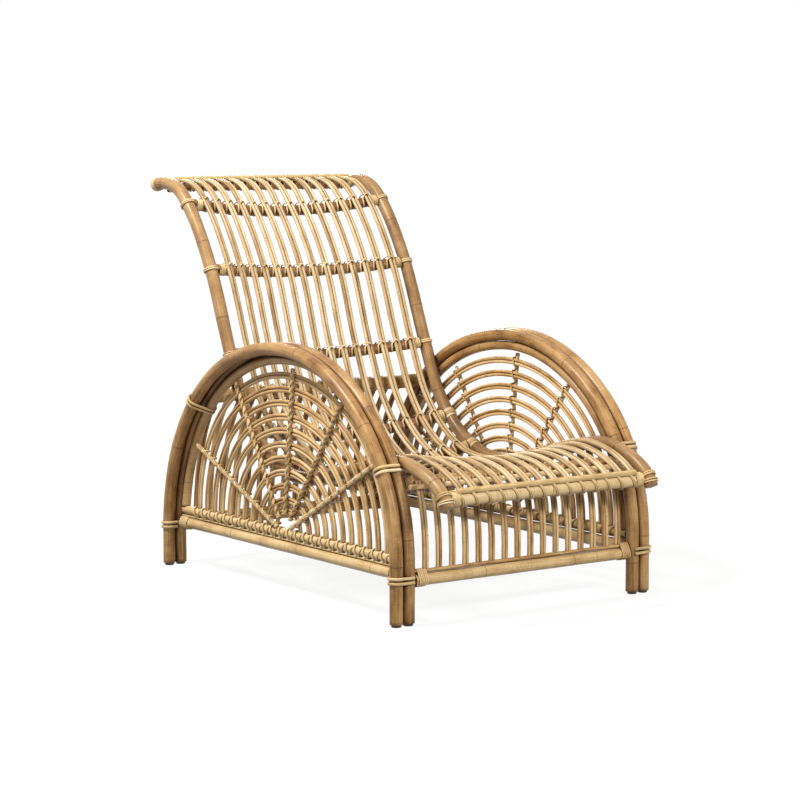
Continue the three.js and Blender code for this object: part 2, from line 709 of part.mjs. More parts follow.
// Round both arches, from the rail's end on the inner one to the hoop or the stretcher behind it
function pairLashing() {
  const ride = rideRadius(POLE_DIAMETER, LASHING_DIAMETER, 2 * CORNER_STEPS);
  const tail = { across: poleRadius + LASHING_DIAMETER, outward: -ride };
  return hairpin([innerCorner, outerCorner], [tail]);
}

// Round both arches and the hoop
function hoopLashing() {
  const turn = THREE.MathUtils.radToDeg(Math.atan2(-archPitch, hoopInset));
  const hoopCorner = {
    across: 0,
    outward: -hoopInset,
    diameter: HOOP_DIAMETER,
    from: turn,
    to: HOOP_STOP_ANGLE,
    steps: CORNER_STEPS - 2,
  };
  return hairpin([innerCorner, { ...outerCorner, to: turn }, hoopCorner]);
}

const legPlace = { point: flat(-legY, LEG_LASHING_HEIGHT), out: flat(-1, 0) };
const lashings = {
  leg_lashing_front: { place: legPlace, plane: pairLashing() },
  arm_lashing_front: { place: archAt(FRONT_LASHING_HEIGHT, true), plane: pairLashing() },
  arm_lashing_rear: { place: archAt(REAR_LASHING_HEIGHT, false), plane: hoopLashing() },
};
for (const [side, sign] of Object.entries(SIDES)) {
  for (const [name, { place, plane }] of Object.entries(lashings)) {
    const path = placeStrand(place, sign, plane);
    const across = new THREE.Vector3(0, place.out.y, -place.out.x);
    const skip = Math.floor(plane.length / 2) - 1;
    addWound(`${name}_${side}`, { path, diameter: LASHING_DIAMETER, across, skip });
  }
}

// The origin goes to the middle of the chair's box, on the floor
const box = new THREE.Box3().setFromObject(chair);
chair.position.y = -(box.min.y + box.max.y) / 2;

export default chair;
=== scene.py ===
"""The looks of the peacock chair: each pole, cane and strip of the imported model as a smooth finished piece.

Lengths are in millimetres until a piece is made. While shapes are worked out, y = 0 lies halfway between
the front legs and the rear legs; make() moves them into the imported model's frame.
"""

import math
import random
from collections import namedtuple

import bpy
import numpy as np
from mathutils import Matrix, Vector


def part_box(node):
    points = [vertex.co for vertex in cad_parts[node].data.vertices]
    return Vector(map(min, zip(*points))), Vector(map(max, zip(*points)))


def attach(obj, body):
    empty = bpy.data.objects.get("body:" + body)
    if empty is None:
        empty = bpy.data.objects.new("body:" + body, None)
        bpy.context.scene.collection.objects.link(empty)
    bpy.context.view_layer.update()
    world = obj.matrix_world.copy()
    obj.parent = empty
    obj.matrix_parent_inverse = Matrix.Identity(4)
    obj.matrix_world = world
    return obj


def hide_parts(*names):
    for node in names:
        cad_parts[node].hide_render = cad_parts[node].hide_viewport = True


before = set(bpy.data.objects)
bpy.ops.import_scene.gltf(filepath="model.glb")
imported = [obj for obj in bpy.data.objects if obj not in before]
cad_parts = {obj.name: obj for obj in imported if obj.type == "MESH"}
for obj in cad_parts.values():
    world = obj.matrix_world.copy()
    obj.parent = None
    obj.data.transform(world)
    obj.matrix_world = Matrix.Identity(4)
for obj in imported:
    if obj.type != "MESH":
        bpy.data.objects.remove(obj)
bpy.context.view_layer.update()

LEG_Y = 476.5
low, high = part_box("bottom_rail_front")
SHIFT = (low.y + high.y) * 500 + LEG_Y
X, _, Z = np.eye(3)
SIDES = {"left": 1, "right": -1}

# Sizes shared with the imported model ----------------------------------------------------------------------
GAP = 0.4  # between pieces that touch on the real chair
ARCH_R, HOOP_R = 15, 11
HOOP_INSET = 26.4
ARCH_CROWN = (-23.6, 566.8)
FRONT_SPRING_Z, REAR_SPRING_Z = 130, 84
FRONT_BEND_SHARES, REAR_BEND_SHARES = (0.611, 0.473), (0.592, 0.573)
FOOT_Z = 5.4
OUTER_X, INNER_X = 350, 318.6
CROSS_REACH = INNER_X - ARCH_R - GAP
SEAT_R = 15.5
SEAT_X = CROSS_REACH - SEAT_R
BAR_REACH = SEAT_X - SEAT_R - GAP
STRETCHER_R, STRETCHER_Z = 14, 108
FAN_RAIL_R, FAN_RAIL_Z = 10, 138
BOTTOM_RAIL_R, BOTTOM_RAIL_Z = 13.5, 97.5
CANE_R, SLAT_R = 4, 4.25
DIP_Y, DIP_Z = -15, 266
SEAT_DEPTH, SEAT_RISE = 380, 79.5
BACK_DEPTH, BACK_RISE = 600, 664

# The crossbars from the front of the seat to the top of the back: share of the S curve, radius, bow and inset
Bar = namedtuple("Bar", "name share r bow inset")
BARS = [
    Bar("front_bar", 0.0165, 15, 0, 12),
    Bar("seat_bar_1", 0.205, 12, 36, 0),
    Bar("seat_bar_2", 0.325, 12, 41.985, 0),
    Bar("seat_bar_3", 0.441, 12, 45, 0),
    Bar("lumbar_bar", 0.5155, 12, 45, 0),
    Bar("back_bar_1", 0.6435, 12, 43.02, 0),
    Bar("back_bar_2", 0.7785, 12, 31.995, 0),
    Bar("back_bar_3", 0.8955, 12, 31.995, 0),
    Bar("top_bar", 0.9805, 11, 0, 6),
]
FRONT_BAR, TOP_BAR = BARS[0], BARS[-1]
SHARES = np.array([bar.share for bar in BARS])

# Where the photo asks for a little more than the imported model: a lower top bar and thicker bowed bars
TOP_DROP = 4.5
BAR_GAIN = 0.9


# Curves --------------------------------------------------------------------------------------------------
def unit(v):
    return v / np.maximum(np.linalg.norm(v, axis=-1, keepdims=True), 1e-12)


def quarter(leg, crown, up, level, n=60):
    """A bend from a leg to a crown. up and level are the shares of its upright and its level handle."""
    a, d = np.array(leg, float), np.array(crown, float)
    b, c = a + [0, (d[1] - a[1]) * up], d + [(a[0] - d[0]) * level, 0]
    t = np.linspace(0, 1, n)[:, None]
    return (1 - t) ** 3 * a + 3 * (1 - t) ** 2 * t * b + 3 * (1 - t) * t * t * c + t**3 * d


def bent(front, rear, crown, front_shares, rear_shares):
    """An arch of two bends that meet at the crown."""
    rise = quarter(front, crown, *front_shares)
    fall = quarter(rear, crown, *rear_shares)[::-1]
    return np.vstack([rise, fall[1:]])


def shifted(path, distance):
    """The path moved sideways in its own plane."""
    t = unit(np.gradient(path, axis=0))
    return path + np.column_stack([-t[:, 1], t[:, 0]]) * distance


def footed(path, foot):
    """The path from its front foot to its rear foot at one height."""
    for _ in range(2):
        i = int(np.argmax(path[:, 1] > foot))
        if i == 0:
            start = [path[0, 0], foot]
        else:
            s = (foot - path[i - 1, 1]) / (path[i, 1] - path[i - 1, 1])
            start = path[i - 1] + (path[i] - path[i - 1]) * s
        path = np.vstack([[start], path[i:]])[::-1]
    return path


def plane(x, path):
    """A (y, z) path laid in the plane at x."""
    return np.column_stack([np.full(len(path), float(x)), path])


ARCH = bent((-LEG_Y, FRONT_SPRING_Z), (LEG_Y, REAR_SPRING_Z), ARCH_CROWN, FRONT_BEND_SHARES, REAR_BEND_SHARES)
ARCH_PATH = footed(ARCH, FOOT_Z)
HOOP_PATH = footed(shifted(ARCH, -HOOP_INSET), FAN_RAIL_Z + FAN_RAIL_R)


def arch_at(height, front):
    """The arch's point at a height on its front or rear leg, and the direction away from the chair."""
    path = ARCH_PATH if front else ARCH_PATH[::-1]
    i = int(np.argmax(path[:, 1] >= height))
    run = path[i] - path[i - 1]
    point = path[i - 1] + run * (height - path[i - 1, 1]) / run[1]
    run = run / np.linalg.norm(run)
    return point, np.array([-run[1], run[0]] if front else [run[1], -run[0]])


# The S curve of the seat rails: shares of the seat's and the back's depth and rise from the dip
SEAT_SHARES = [(1.475, -0.03), (1.452, 0.2), (1.38, 0.5), (1.225, 0.83), (1, 1), (0.56, 0.51), (0.13, 0.04)]
BACK_SHARES = [
    (0.1, 0.011), (0.273, 0.087), (0.405, 0.213), (0.505, 0.398), (0.653, 0.706),
    (0.797, 0.902), (0.9, 0.982), (1, 1), (1.072, 0.992),
]
S_POINTS = [(DIP_Y - SEAT_DEPTH * a, DIP_Z + SEAT_RISE * b) for a, b in SEAT_SHARES]
S_POINTS += [(DIP_Y + BACK_DEPTH * a, DIP_Z + BACK_RISE * b) for a, b in BACK_SHARES]


def spline(points, steps=60):
    """A centripetal spline through points."""
    p = np.array(points, float)
    p = np.vstack([2 * p[0] - p[1], p, 2 * p[-1] - p[-2]])
    out = []
    for i in range(1, len(p) - 2):
        dt = [max(np.linalg.norm(p[i + k] - p[i + k - 1]) ** 0.5, 1e-4) for k in (0, 1, 2)]
        m = []
        for a, b, c, d0, d1 in (
            (p[i - 1], p[i], p[i + 1], dt[0], dt[1]), (p[i], p[i + 1], p[i + 2], dt[1], dt[2])
        ):
            m.append(((b - a) / d0 - (c - a) / (d0 + d1) + (c - b) / d1) * dt[1])
        t = np.linspace(0, 1, steps, endpoint=False)[:, None]
        out.append(
            (2 * t**3 - 3 * t**2 + 1) * p[i] + (t**3 - 2 * t**2 + t) * m[0]
            + (-2 * t**3 + 3 * t**2) * p[i + 1] + (t**3 - t**2) * m[1]
        )
    return np.vstack(out + [p[-2:-1]])


def along(path):
    """The distance along the path at each of its points."""
    return np.concatenate([[0], np.cumsum(np.linalg.norm(np.diff(path, axis=0), axis=1))])


def at(path, d):
    """The path's points at distances along it."""
    cum = along(path)
    return np.column_stack([np.interp(d, cum, path[:, i]) for i in range(path.shape[1])])


S_CURVE = spline(S_POINTS)
S_LENGTH = along(S_CURVE)[-1]


def rail_at(share):
    """Points of the S curve, its runs towards the top and the directions of the sitter."""
    d = np.atleast_1d(share) * S_LENGTH
    p = at(S_CURVE, d)
    run = unit(at(S_CURVE, np.minimum(d + 1, S_LENGTH)) - at(S_CURVE, np.maximum(d - 1, 0)))
    z = np.zeros(len(d))
    return (np.column_stack([z, p]), np.column_stack([z, run]), np.column_stack([z, -run[:, 1], run[:, 0]]))


def bow_at(x):
    """The share of a bar's bow at x."""
    return 1 - (np.asarray(x, float) / BAR_REACH) ** 2


def smooth_loop(points, steps=5):
    """A closed smooth curve through points."""
    p = np.array(points, float)
    t = np.linspace(0, 1, steps, endpoint=False)[:, None]
    out = []
    for i in range(len(p)):
        a, b, c, d = (p[(i + k) % len(p)] for k in (-1, 0, 1, 2))
        out.append(
            0.5 * (2 * b + (c - a) * t + (2 * a - 5 * b + 4 * c - d) * t**2 + (3 * b - a - 3 * c + d) * t**3)
        )
    return np.vstack(out)


# Sections ------------------------------------------------------------------------------------------------
def circle(r, n=16):
    a = np.arange(n) * 2 * math.pi / n
    return np.column_stack([r * np.cos(a), r * np.sin(a)])


def strip(width, thick, n=4):
    """A flat strip with rounded edges."""
    a = np.linspace(-math.pi / 2, math.pi / 2, n)
    edge = np.column_stack([(width - thick) / 2 + thick / 2 * np.cos(a), thick / 2 * np.sin(a)])
    return np.vstack([edge, -edge])


def oval(width, thick, n=12):
    a = np.arange(n) * 2 * math.pi / n
    return np.column_stack([width / 2 * np.cos(a), thick / 2 * np.sin(a)])


def twin(r, n=7):
    """Two round strands side by side."""
    a = np.linspace(-2.3, 2.3, n)
    right = np.column_stack([r * 0.96 + r * np.cos(a), r * np.sin(a)])
    return np.vstack([right, -right])


# Shells: vertices with the grain's coordinates, growth rings, cut ends and a seed for the tone -----------
dice = random.Random(7)


def sweep(path, normal, section, closed=False, scale=None, ring=None, seed=0.0):
    """One shell along a path. The section's second axis keeps to the normal."""
    p = np.asarray(path, float)
    n, k = len(p), len(section)
    t = np.roll(p, -1, 0) - np.roll(p, 1, 0) if closed else np.gradient(p, axis=0)
    t = unit(t)
    o = np.broadcast_to(np.asarray(normal, float), p.shape)
    o = unit(o - (o * t).sum(1, keepdims=True) * t)
    b = np.cross(o, t)
    s = np.ones(n) if scale is None else scale
    sec = np.asarray(section)[None] * s[:, None, None]
    v = p[:, None] + b[:, None] * sec[:, :, :1] + o[:, None] * sec[:, :, 1:]
    run = np.broadcast_to(along(p)[:, None, None], (n, k, 1))
    grain = np.concatenate([np.broadcast_to(sec, (n, k, 2)), run], 2)
    rings = np.zeros(n) if ring is None else ring
    i = np.arange(n if closed else n - 1)[:, None]
    j = np.arange(k)[None]
    i2, j2 = (i + 1) % n, (j + 1) % k
    quads = np.stack([i * k + j, i * k + j2, i2 * k + j2, i2 * k + j], 2).reshape(-1, 4)
    shell = {
        "v": v.reshape(-1, 3), "grain": grain.reshape(-1, 3), "ring": np.repeat(rings, k),
        "cut": np.zeros(n * k), "quads": quads, "caps": [], "seed": seed,
    }
    if not closed:
        shell["v"] = np.vstack([shell["v"], v[0], v[-1]])
        shell["grain"] = np.vstack([shell["grain"], grain[0], grain[-1]])
        shell["ring"] = np.concatenate([shell["ring"], np.zeros(2 * k)])
        shell["cut"] = np.concatenate([shell["cut"], np.ones(2 * k)])
        shell["caps"] = [list(range(n * k + k - 1, n * k - 1, -1)), list(range(n * k + k, n * k + 2 * k))]
    return shell


RING_MARGIN = 15  # no growth ring comes nearer to a pole's end
RING_STOPS = (-9, -5, -2.6, -1.3, -0.5, 0, 0.5, 1.3, 2.6, 5, 9)  # round each ring of a full pole
LEAST_RING = 0.45  # the size of a thin cane's rings against a full pole's
SWELLING = 0.022  # of a ring, with a groove as deep in its middle
END_EASE = 0.09  # how much thinner a pole is at its cut end


def growth(total, gap):
    """Places of the growth rings along a pole."""
    d = dice.uniform(0.2, 0.9) * gap
    out = []
    while d < total - RING_MARGIN:
        if d > RING_MARGIN:
            out.append(d)
        d += gap * dice.uniform(0.75, 1.3)
    return out


def rod(path, r, normal=X, gap=170, step=9, sides=20, bevel=1.0, swell=1.0):
    """A round pole or cane with growth rings, a slightly uneven thickness and eased ends."""
    total = along(path)[-1]
    rings = growth(total, gap) if gap else []
    seed = dice.random()
    size = max(r / ARCH_R, LEAST_RING)
    stops = list(np.linspace(0, total, max(2, int(total / step) + 1)))
    stops += [bevel * 0.4, bevel, total - bevel, total - bevel * 0.4]
    for c in rings:
        stops += [c + q * size for q in RING_STOPS]
    d = np.unique(np.round(np.clip(stops, 0, total), 3))
    edge = np.minimum(d, total - d)
    s = 1 - END_EASE * np.clip(1 - edge / bevel, 0, 1) ** 2
    s *= 1 + 0.012 * np.sin(d / 61 + seed * 40) + 0.008 * np.sin(d / 23 + seed * 90)
    ring = np.zeros(len(d))
    for c in rings:
        q = (d - c) / size
        s *= 1 + swell * (SWELLING * np.exp(-((q / 3.4) ** 2)) - SWELLING * np.exp(-((q / 0.7) ** 2)))
        ring = np.maximum(ring, np.exp(-(q**2)))
    return sweep(at(path, d), normal, circle(r, sides), scale=s, ring=ring, seed=seed)


HALF_SEAM = 0.18  # half the gap between two paired canes


def paired(line_at, r, gap, step, sides):
    """Two thin canes side by side. line_at gives the line at a distance from the middle."""
    reach = r + HALF_SEAM
    return [rod(line_at(k * reach), r, X, gap=gap, step=step, sides=sides, bevel=0.8, swell=1.3) for k in (-1, 1)]


def shade_rod(path, normal):
    """A thin dark rod between two paired canes, coloured as a growth ring along its whole length: painted shade of
    the seam.
    """
    return sweep(path, normal, circle(1.25, 6), ring=np.ones(len(path)))


def around(path, ref, start, end, turns, r, phase=0.0, steps=22):
    """A helix round a path, from one distance along it to another, with its outward directions."""
    n = max(8, int(abs(turns) * steps))
    s = np.linspace(0, 1, n + 1)
    d = start + (end - start) * s
    total = along(path)[-1]
    t = unit(at(path, np.minimum(d + 1, total)) - at(path, np.maximum(d - 1, 0)))
    u = unit(ref - (t @ ref)[:, None] * t)
    w = np.cross(t, u)
    a = phase + 2 * math.pi * turns * s
    out = u * np.cos(a)[:, None] + w * np.sin(a)[:, None]
    return at(path, d) + out * r, out


def coil(path, ref, start, end, turns, r, section, phase=0.0, steps=22):
    """A strand wound round a path."""
    p, out = around(path, ref, start, end, turns, r, phase, steps)
    return sweep(p, out, section, seed=dice.random())


def hoop(path, ref, d, r, section, lean):
    """A closed ring round a path, leaning a little along it."""
    p, out = around(path, ref, d, d, 1, r, steps=26)
    total = along(path)[-1]
    t = unit(at(path, [min(d + 1, total)]) - at(path, [max(d - 1, 0)]))[0]
    a = np.linspace(0, 2 * math.pi, len(p))
    p = p + t * (lean * np.sin(a + dice.uniform(0, 0.6)))[:, None]
    return sweep(p[:-1], out[:-1], section, closed=True, seed=dice.random())


def belt(rounds, grow, start, end, turns, section, phase):
    """A strip wound round parallel poles that run along X, each given as (y, z, radius)."""
    rounds = np.array(rounds, float)
    s = np.linspace(0, 1, int(turns * 30) + 1)
    a = phase + 2 * math.pi * turns * s
    way = np.column_stack([np.cos(a), np.sin(a)])
    best = np.argmax(way @ rounds[:, :2].T + rounds[:, 2], axis=1)
    p = rounds[best, :2] + way * (rounds[best, 2:] + grow)
    line = np.column_stack([start + (end - start) * s, p])
    return sweep(line, np.column_stack([0 * s, way]), section, seed=dice.random())


def both_ends(total, near, far):
    """The spans at the start and at the end of a path of a total length, by their distances from its ends."""
    return (near, far), (total - far, total - near)


def any_phase():
    """The angle at which a wrap starts."""
    return dice.uniform(0, 6)


def make(name, shells, material, slot, *nodes):
    """One piece of the visual model from its shells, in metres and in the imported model's frame."""
    counts = np.cumsum([0] + [len(s["v"]) for s in shells])
    v = (np.vstack([s["v"] for s in shells]) + [0, SHIFT, 0]) / 1000
    faces, smooth = [], []
    for s, c in zip(shells, counts):
        quads = (s["quads"] + c).tolist()
        caps = [[q + int(c) for q in cap] for cap in s["caps"]]
        faces += quads + caps
        smooth += [True] * len(quads) + [False] * len(caps)
    mesh = bpy.data.meshes.new(name)
    mesh.from_pydata(v.tolist(), [], faces)
    mesh.polygons.foreach_set("use_smooth", smooth)
    grain = mesh.attributes.new("grain", "FLOAT_VECTOR", "POINT")
    g = np.vstack([s["grain"] + [0, 0, s["seed"] * 9000] for s in shells]) / 1000
    grain.data.foreach_set("vector", g.astype(np.float32).ravel())
    values = {key: np.concatenate([s[key] for s in shells]) for key in ("ring", "cut")}
    values["seed"] = np.concatenate([np.full(len(s["v"]), s["seed"]) for s in shells])
    for key, value in values.items():
        mesh.attributes.new(key, "FLOAT", "POINT").data.foreach_set("value", value.astype(np.float32))
    mesh.update()
    mesh.materials.append(material)
    piece = bpy.data.objects.new(name, mesh)
    bpy.context.scene.collection.objects.link(piece)
    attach(piece, "root")
    if nodes:
        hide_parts(*nodes)


# Materials -----------------------------------------------------------------------------------------------
def srgb(*rgb):
    return tuple((c / 255 / 12.92 if c <= 10 else ((c / 255 + 0.055) / 1.055) ** 2.4) for c in rgb) + (1,)


def grey(v):
    return (v, v, v, 1)


class Nodes:
    """Wires the shader nodes of a material or a world."""

    def __init__(self, owner):
        owner.use_nodes = True
        self.tree = owner.node_tree
        self.shader = self.tree.nodes.get("Principled BSDF")

    def node(self, kind, **values):
        """A new node. A value goes to the input of its name or to input number N as inN, else to the node."""
        node = self.tree.nodes.new("ShaderNode" + kind)
        for key, value in values.items():
            if key in node.inputs:
                self.set(node.inputs[key], value)
            elif key.startswith("in"):
                self.set(node.inputs[int(key[2:])], value)
            else:
                setattr(node, key, value)
        return node

    def set(self, socket, value):
        if isinstance(value, bpy.types.NodeSocket):
            self.tree.links.new(value, socket)
        else:
            socket.default_value = value

    def attribute(self, name, output="Fac"):
        return self.node("Attribute", attribute_name=name).outputs[output]

    def math(self, operation, a, b):
        return self.node("Math", operation=operation, in0=a, in1=b).outputs[0]

    def scaled(self, vector, scale):
        return self.node("VectorMath", operation="MULTIPLY", in0=vector, in1=scale).outputs[0]

    def noise(self, vector, scale, detail, roughness=0.5):
        node = self.node("TexNoise", Vector=self.scaled(vector, scale))
        node.inputs["Scale"].default_value = 1.0
        node.inputs["Detail"].default_value = detail
        node.inputs["Roughness"].default_value = roughness
        return node.outputs["Fac"]

    def ramp(self, factor, *stops):
        node = self.node("ValToRGB", Fac=factor)
        ramp = node.color_ramp
        while len(ramp.elements) < len(stops):
            ramp.elements.new(0.5)
        for element, (place, colour) in zip(ramp.elements, stops):
            element.position = place
            element.color = colour
        return node.outputs["Color"]

    def mix(self, factor, a, b, blend="MIX"):
        node = self.node("Mix", data_type="RGBA", blend_type=blend)
        for place, value in ((0, factor), (6, a), (7, b)):
            self.set(node.inputs[place], value)
        return node.outputs[2]

    def bump(self, height, strength, distance):
        node = self.node("Bump", Height=height)
        node.inputs["Strength"].default_value = strength
        node.inputs["Distance"].default_value = distance
        return node.outputs["Normal"]


def rattan(name, colours, roughness, streak, mottle, bark, painted_shade_share=1.0):
    """Peeled and polished rattan: fibre streaks, blotches, fine cross marks, growth rings and end grain, and painted
    shade in the crevices.

    colours: dark, middle and light tone, growth ring and cut end. The last argument is the share of the painted
    crevice shade.
    """
    dark, mid, light, ring_colour, end_colour = (srgb(*c) for c in colours)
    material = bpy.data.materials.new(name)
    n = Nodes(material)
    grain = n.attribute("grain", "Vector")
    ring, cut, seed = (n.attribute(key) for key in ("ring", "cut", "seed"))
    fibres = n.noise(grain, (620, 620, 8), 3, 0.6)
    fine = n.noise(grain, (2400, 2400, 40), 2, 0.5)
    blotch = n.noise(grain, (30, 30, 15), 3, 0.6)
    marks = n.noise(grain, (45, 45, 400), 2, 0.6)

    # The tone: streaks, blotches and a shade of its own for each cane
    tone = n.math("ADD", n.math("MULTIPLY", fibres, streak), n.math("MULTIPLY", blotch, mottle))
    tone = n.math("ADD", tone, n.math("MULTIPLY", n.math("SUBTRACT", seed, 0.5), 0.26))
    tone = n.math("ADD", tone, 0.5 - (streak + mottle) / 2)
    colour = n.ramp(tone, (0.26, dark), (0.5, mid), (0.76, light))
    thread = n.ramp(fine, (0.3, grey(0.82)), (0.62, grey(1.0)))
    colour = n.mix(0.8, colour, thread, "MULTIPLY")

    # Cross marks in patches, growth rings and cut ends
    patches = n.ramp(n.noise(grain, (16, 16, 7), 1), (0.42, grey(0.15)), (0.6, grey(1.0)))
    lines = n.ramp(marks, (0.36, grey(1.0)), (0.5, grey(0.0)))
    lines = n.mix(1.0, lines, patches, "MULTIPLY")
    colour = n.mix(n.math("MULTIPLY", lines, bark), colour, dark)
    colour = n.mix(n.math("MULTIPLY", ring, 0.8), colour, ring_colour)
    pores = n.node("TexVoronoi", Vector=n.scaled(grain, (1100, 1100, 0)))
    pores.inputs["Scale"].default_value = 1.0
    end = n.ramp(pores.outputs["Distance"], (0.12, ring_colour), (0.4, end_colour))
    colour = n.mix(cut, colour, end)

    # Painted shade: the colour darkens to a dark brown in crevices and wherever other parts lie within 35 mm
    crevice = n.node("AmbientOcclusion")
    crevice.samples = 4
    crevice.inputs["Distance"].default_value = 0.035
    painted_shade_tint = n.ramp(crevice.outputs["AO"], (0.2, (0.24, 0.16, 0.11, 1)), (0.8, grey(1.0)))
    n.set(n.shader.inputs["Base Color"], n.mix(painted_shade_share, colour, painted_shade_tint, "MULTIPLY"))

    rough = n.math("ADD", n.math("MULTIPLY", blotch, 0.2), roughness - 0.1)
    rough = n.math("ADD", rough, n.math("MULTIPLY", cut, 0.25))
    n.set(n.shader.inputs["Roughness"], rough)
    n.shader.inputs["IOR"].default_value = 1.45
    n.shader.inputs["Specular IOR Level"].default_value = 0.22
    n.shader.inputs["Coat Weight"].default_value = 0.1
    n.shader.inputs["Coat Roughness"].default_value = 0.24
    height = n.math("ADD", n.math("MULTIPLY", fibres, 0.5), n.math("MULTIPLY", fine, 0.35))
    height = n.math("ADD", height, n.math("MULTIPLY", marks, bark * 1.1))
    n.set(n.shader.inputs["Normal"], n.bump(height, 0.45, 0.0005))
    return material


def glide_plastic():
    material = bpy.data.materials.new("glide")
    n = Nodes(material)
    speck = n.noise(n.attribute("grain", "Vector"), (900, 900, 900), 2)
    n.set(n.shader.inputs["Base Color"], n.ramp(speck, (0.3, srgb(52, 46, 42)), (0.7, srgb(84, 76, 70))))
    n.set(n.shader.inputs["Roughness"], n.math("ADD", n.math("MULTIPLY", speck, 0.2), 0.5))
    n.set(n.shader.inputs["Normal"], n.bump(speck, 0.3, 0.0003))
    return material


POLE = rattan(
    "rattan_pole", [(116, 74, 36), (190, 148, 94), (219, 187, 136), (86, 50, 24), (220, 192, 146)],
    0.36, 0.5, 0.55, 0.34)
# A paler copy of the pole's rattan for the stretchers, fan rails, bottom rails and front bar: its extra lightness is
# painted light
PALE_POLE = rattan(
    "rattan_pole_pale", [(158, 114, 66), (234, 200, 144), (248, 226, 180), (118, 80, 44), (224, 198, 154)],
    0.36, 0.5, 0.5, 0.34)
RAIL = rattan(
    "rattan_rail", [(108, 72, 38), (174, 136, 90), (206, 174, 128), (78, 48, 24), (222, 196, 152)],
    0.36, 0.5, 0.5, 0.34)
# A darker copy of the pole's rattan for the crossbars and the seam rods: painted shade, the tone of the bars in the
# shade between the slats
BAR = rattan(
    "rattan_bar", [(88, 52, 28), (148, 104, 66), (184, 142, 100), (70, 42, 22), (200, 168, 124)],
    0.38, 0.5, 0.55, 0.34)
CANE = rattan(
    "rattan_cane", [(146, 98, 50), (222, 182, 124), (242, 217, 172), (112, 72, 34), (220, 192, 146)],
    0.38, 0.65, 0.6, 0.08)
SLAT_CANE = rattan(
    "rattan_slat", [(140, 104, 60), (202, 171, 124), (234, 214, 176), (104, 70, 36), (220, 192, 146)],
    0.38, 0.65, 0.6, 0.08)
# The cane strands take half of the painted crevice shade
STRAND = rattan(
    "cane_strand", [(188, 152, 98), (226, 196, 142), (243, 224, 184), (160, 120, 72), (226, 200, 156)],
    0.36, 0.6, 0.45, 0.1, painted_shade_share=0.5)
GLIDE = glide_plastic()


# Arches, hoops, straight poles and glides ----------------------------------------------------------------
def cross_pole(node):
    """The place, height, radius and line of a straight pole between the sides."""
    lo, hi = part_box(node)
    y, z, r = (lo.y + hi.y) * 500 - SHIFT, (lo.z + hi.z) * 500, (hi.z - lo.z) * 500
    return y, z, r, np.array([[-CROSS_REACH, y, z], [CROSS_REACH, y, z]])


def side_pole(node, x, z, inset=0):
    """The line of a straight pole along one side, as far as the node reaches less an inset."""
    lo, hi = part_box(node)
    return np.array([[x, lo.y * 1000 - SHIFT + inset, z], [x, hi.y * 1000 - SHIFT - inset, z]])


for side, sign in SIDES.items():
    for row, x in (("outer", OUTER_X), ("inner", INNER_X)):
        shell = rod(plane(sign * x, ARCH_PATH), ARCH_R, gap=300, sides=28, swell=0.7)
        make(f"{row}_arch_pole_{side}", [shell], POLE, "pole", f"{row}_arch_{side}")
    shell = rod(plane(sign * INNER_X, HOOP_PATH), HOOP_R, gap=190, sides=24)
    make(f"fan_hoop_pole_{side}", [shell], POLE, "pole", f"fan_hoop_{side}")
    for node, z, r, gap in (
        ("side_stretcher", STRETCHER_Z, STRETCHER_R, 260), ("fan_rail", FAN_RAIL_Z, FAN_RAIL_R, 150)
    ):
        shell = rod(side_pole(f"{node}_{side}", sign * INNER_X, z), r, gap=gap, sides=24)
        make(f"{node}_pole_{side}", [shell], PALE_POLE, "pole", f"{node}_{side}")

for node, material in (
    ("bottom_rail_front", PALE_POLE), ("bottom_rail_rear", PALE_POLE),
    ("cross_rail_front", POLE), ("cross_rail_rear", POLE),
):
    y, z, r, path = cross_pole(node)
    make(f"{node}_pole", [rod(path, r, Z, gap=210, sides=26)], material, "pole", node)

GLIDE_STOPS = np.array([0, 0.25, 0.8, 3.6, 4.4, 4.8, 5.0])
GLIDE_SCALES = np.array([0.86, 0.93, 1, 1, 0.99, 0.95, 0.9])
for side, sign in SIDES.items():
    for end, y in (("front", -LEG_Y), ("rear", LEG_Y)):
        for row, x in (("outer", OUTER_X), ("inner", INNER_X)):
            path = np.array([(sign * x, y, z) for z in GLIDE_STOPS])
            make(f"glide_disc_{row}_{end}_{side}", [sweep(path, X, circle(11, 32), scale=GLIDE_SCALES)],
                 GLIDE, "glide", f"glide_{row}_{end}_{side}")


# Seat rails and crossbars --------------------------------------------------------------------------------
def bar_frame(bar):
    """The bar's place on the S curve, the run towards the top and the direction of the sitter."""
    return (v[0] for v in rail_at(bar.share))


def bar_path(bar):
    """The bar's middle line, bowed away from the sitter."""
    p, _, sitter = bar_frame(bar)
    x = np.linspace(-BAR_REACH, BAR_REACH, 41)
    depth = bar.inset + bar.bow * bow_at(x) + (TOP_DROP if bar is TOP_BAR else 0)
    return p - sitter * depth[:, None] + np.outer(x, X)


for side, sign in SIDES.items():
    shell = rod(plane(sign * SEAT_X, S_CURVE), SEAT_R, gap=185, sides=28, bevel=1.6)
    make(f"seat_rail_pole_{side}", [shell], RAIL, "pole", f"seat_rail_{side}")

# The front bar takes the paler rattan with painted light; the other bars take the darker one with painted shade
for bar in BARS:
    _, run, sitter = bar_frame(bar)
    gain = BAR_GAIN if bar.bow else 0
    shell = rod(bar_path(bar) - sitter * gain, bar.r + gain, run, gap=160, sides=24)
    make(f"{bar.name}_pole", [shell], PALE_POLE if bar is FRONT_BAR else BAR, "pole", bar.name)

